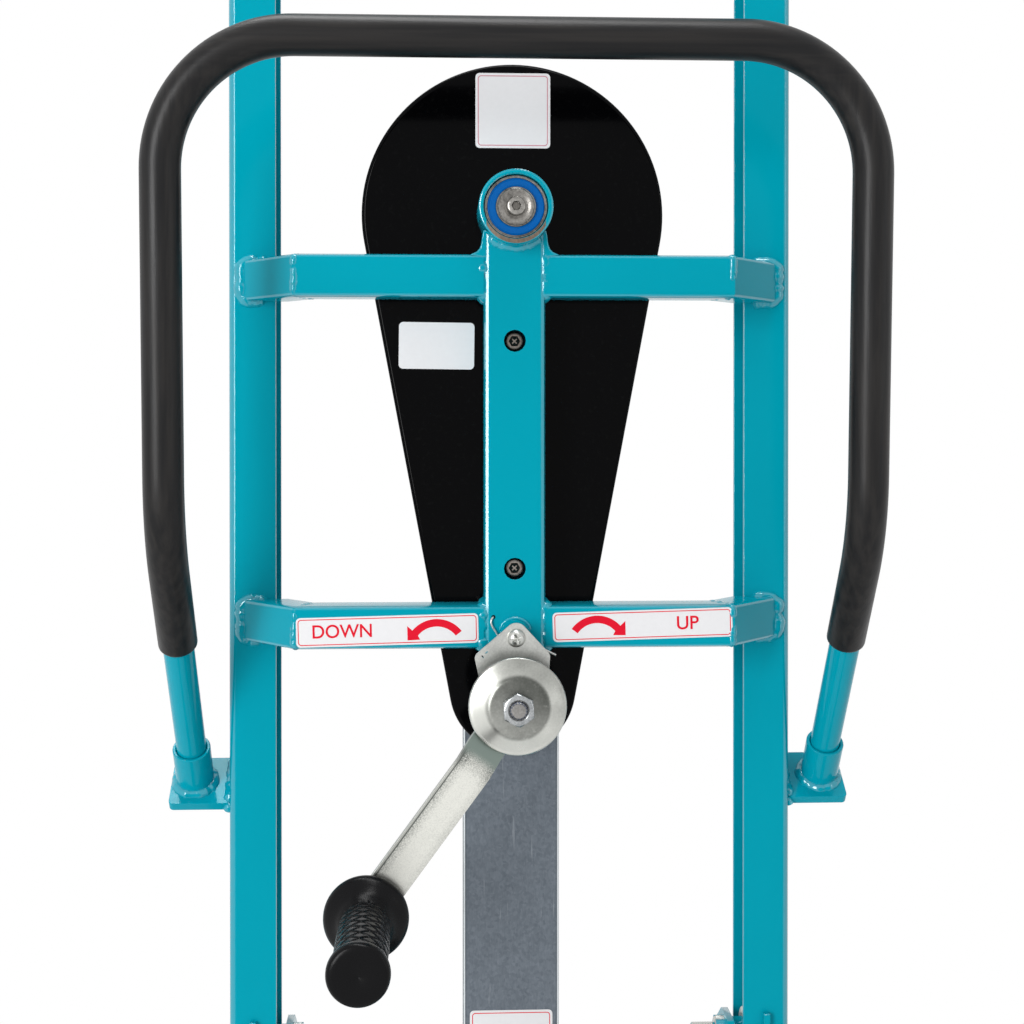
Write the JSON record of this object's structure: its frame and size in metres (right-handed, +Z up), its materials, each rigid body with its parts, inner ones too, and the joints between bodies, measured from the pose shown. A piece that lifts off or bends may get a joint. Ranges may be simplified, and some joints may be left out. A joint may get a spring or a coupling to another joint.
{
  "type": "material lift",
  "caption": "Hand-cranked material lift: turquoise twin-rail mast on wheels, crank with load brake, chain drive in a black case, push handle and fork carriage.",
  "frame": {"origin": "on the floor, at the middle of the lift's whole footprint", "axes": "+Z up along the mast, +Y towards the forks' tips, the operator stands at -Y, +X to the operator's right"},
  "size_m": [0.68, 0.935, 1.7303],
  "materials": {
    "turquoise_paint": "semi-gloss powder coat",
    "black_gloss_paint": "high gloss",
    "galvanised_sheet": "dull zinc coating",
    "bright_zinc": "bright zinc plating",
    "plain_steel": "machined",
    "oiled_chain_steel": "oiled",
    "black_oxide_steel": "black oxide",
    "charcoal_sleeve": "soft matt foam",
    "black_rubber": "matt with a scale pattern",
    "tyre_rubber": "matt",
    "grey_rim_plastic": "satin",
    "white_nylon": "satin"
  },
  "bodies": {
    "lift_frame": {"mast_rail_left": "turquoise_paint", "mast_rail_right": "turquoise_paint", "mast_top_tie": "turquoise_paint", "upper_arm_left": "turquoise_paint", "upper_arm_right": "turquoise_paint", "lower_arm_left": "turquoise_paint", "lower_arm_right": "turquoise_paint", "centre_post": "turquoise_paint", "shaft_housing": "turquoise_paint", "crank_housing": "turquoise_paint", "front_bearing": "plain_steel", "rear_bearing": "plain_steel", "chain_guard": "galvanised_sheet", "chain_case_cover": "black_gloss_paint", "chain_case_back": "black_gloss_paint", "case_screw_upper": "black_oxide_steel", "case_screw_lower": "black_oxide_steel", "drive_chain": "oiled_chain_steel", "lift_chain": "oiled_chain_steel", "ratchet_wheel": "plain_steel", "pawl_plate": "bright_zinc", "pawl_screw": "bright_zinc", "pawl_spring": "plain_steel", "handle_tube": "turquoise_paint", "handle_sleeve": "charcoal_sleeve", "handle_socket_left": "turquoise_paint", "handle_socket_right": "turquoise_paint", "base_leg_left": "turquoise_paint", "base_leg_right": "turquoise_paint", "base_cross_tube": "turquoise_paint", "wheel_axle": "plain_steel", "idler_bracket": "turquoise_paint"},
    "crank": {"crank_shaft": "plain_steel", "small_sprocket": "plain_steel", "friction_hub": "plain_steel", "crank_arm": "bright_zinc", "brake_cap": "bright_zinc", "crank_nut": "bright_zinc", "grip_pin": "plain_steel"},
    "grip": {"crank_grip": "black_rubber"},
    "pawl_body": {"pawl": "plain_steel"},
    "upper_shaft": {"drive_shaft": "plain_steel", "large_sprocket": "plain_steel", "lift_sprocket": "plain_steel", "shaft_screw": "plain_steel"},
    "idler": {"idler_sprocket": "plain_steel"},
    "carriage": {"carriage_frame": "turquoise_paint", "fork_left": "turquoise_paint", "fork_right": "turquoise_paint", "chain_clamp": "plain_steel"},
    "roller_upper_left": {"carriage_roller_upper_left": "white_nylon"},
    "roller_upper_right": {"carriage_roller_upper_right": "white_nylon"},
    "roller_lower_left": {"carriage_roller_lower_left": "white_nylon"},
    "roller_lower_right": {"carriage_roller_lower_right": "white_nylon"},
    "wheel_left": {"wheel_rim_left": "grey_rim_plastic", "wheel_tyre_left": "tyre_rubber"},
    "wheel_right": {"wheel_rim_right": "grey_rim_plastic", "wheel_tyre_right": "tyre_rubber"},
    "front_left": {"front_roller_left": "white_nylon"},
    "front_right": {"front_roller_right": "white_nylon"}
  },
  "joints": [
    {"name": "crank_turn", "type": "hinge", "parent": "lift_frame", "child": "crank", "pos_m": [0, -0.2575, 0.88], "axis": [0, 1, 0], "range_deg": [0, 6480]},
    {"name": "grip_turn", "type": "hinge", "parent": "crank", "child": "grip", "pos_m": [-0.11868, -0.3675, 0.71902], "axis": [0, 1, 0], "continuous": true},
    {"name": "pawl_swing", "type": "hinge", "parent": "lift_frame", "child": "pawl_body", "pos_m": [0, -0.2575, 0.931], "axis": [0, -1, 0], "range_deg": [0, 14], "stiffness_Nm_per_rad": 0.02, "springref_deg": -17.19},
    {"name": "upper_shaft_turn", "type": "hinge", "parent": "lift_frame", "child": "upper_shaft", "pos_m": [0, -0.2575, 1.27759], "axis": [0, 1, 0], "range_deg": [0, 1852]},
    {"name": "idler_turn", "type": "hinge", "parent": "lift_frame", "child": "idler", "pos_m": [0, -0.2575, 0.115], "axis": [0, 1, 0], "range_deg": [0, 1852]},
    {"name": "carriage_lift", "type": "slide", "parent": "lift_frame", "child": "carriage", "axis": [0, 0, 1], "range_m": [0, 0.9912]},
    {"name": "roller_upper_left_turn", "type": "hinge", "parent": "carriage", "child": "roller_upper_left", "pos_m": [-0.218, -0.1725, 0.57], "axis": [1, 0, 0], "range_deg": [-2750, 0]},
    {"name": "roller_upper_right_turn", "type": "hinge", "parent": "carriage", "child": "roller_upper_right", "pos_m": [0.218, -0.1725, 0.57], "axis": [1, 0, 0], "range_deg": [-2750, 0]},
    {"name": "roller_lower_left_turn", "type": "hinge", "parent": "carriage", "child": "roller_lower_left", "pos_m": [-0.218, -0.1725, 0.17], "axis": [1, 0, 0], "range_deg": [0, 2750]},
    {"name": "roller_lower_right_turn", "type": "hinge", "parent": "carriage", "child": "roller_lower_right", "pos_m": [0.218, -0.1725, 0.17], "axis": [1, 0, 0], "range_deg": [0, 2750]},
    {"name": "wheel_left_roll", "type": "hinge", "parent": "lift_frame", "child": "wheel_left", "pos_m": [-0.2945, -0.3375, 0.13], "axis": [1, 0, 0], "continuous": true},
    {"name": "wheel_right_roll", "type": "hinge", "parent": "lift_frame", "child": "wheel_right", "pos_m": [0.2945, -0.3375, 0.13], "axis": [1, 0, 0], "continuous": true},
    {"name": "front_left_roll", "type": "hinge", "parent": "lift_frame", "child": "front_left", "pos_m": [-0.22, 0.4225, 0.045], "axis": [1, 0, 0], "continuous": true},
    {"name": "front_right_roll", "type": "hinge", "parent": "lift_frame", "child": "front_right", "pos_m": [0.22, 0.4225, 0.045], "axis": [1, 0, 0], "continuous": true}
  ],
  "couplings": [
    {"joint": "upper_shaft_turn", "follows": "crank_turn", "ratio": 0.28571},
    {"joint": "idler_turn", "follows": "crank_turn", "ratio": 0.28571},
    {"joint": "carriage_lift", "follows": "crank_turn", "m_per_rad": 0.0087623},
    {"joint": "roller_upper_left_turn", "follows": "crank_turn", "ratio": -0.4233},
    {"joint": "roller_upper_right_turn", "follows": "crank_turn", "ratio": -0.4233},
    {"joint": "roller_lower_left_turn", "follows": "crank_turn", "ratio": 0.4233},
    {"joint": "roller_lower_right_turn", "follows": "crank_turn", "ratio": 0.4233}
  ]
}
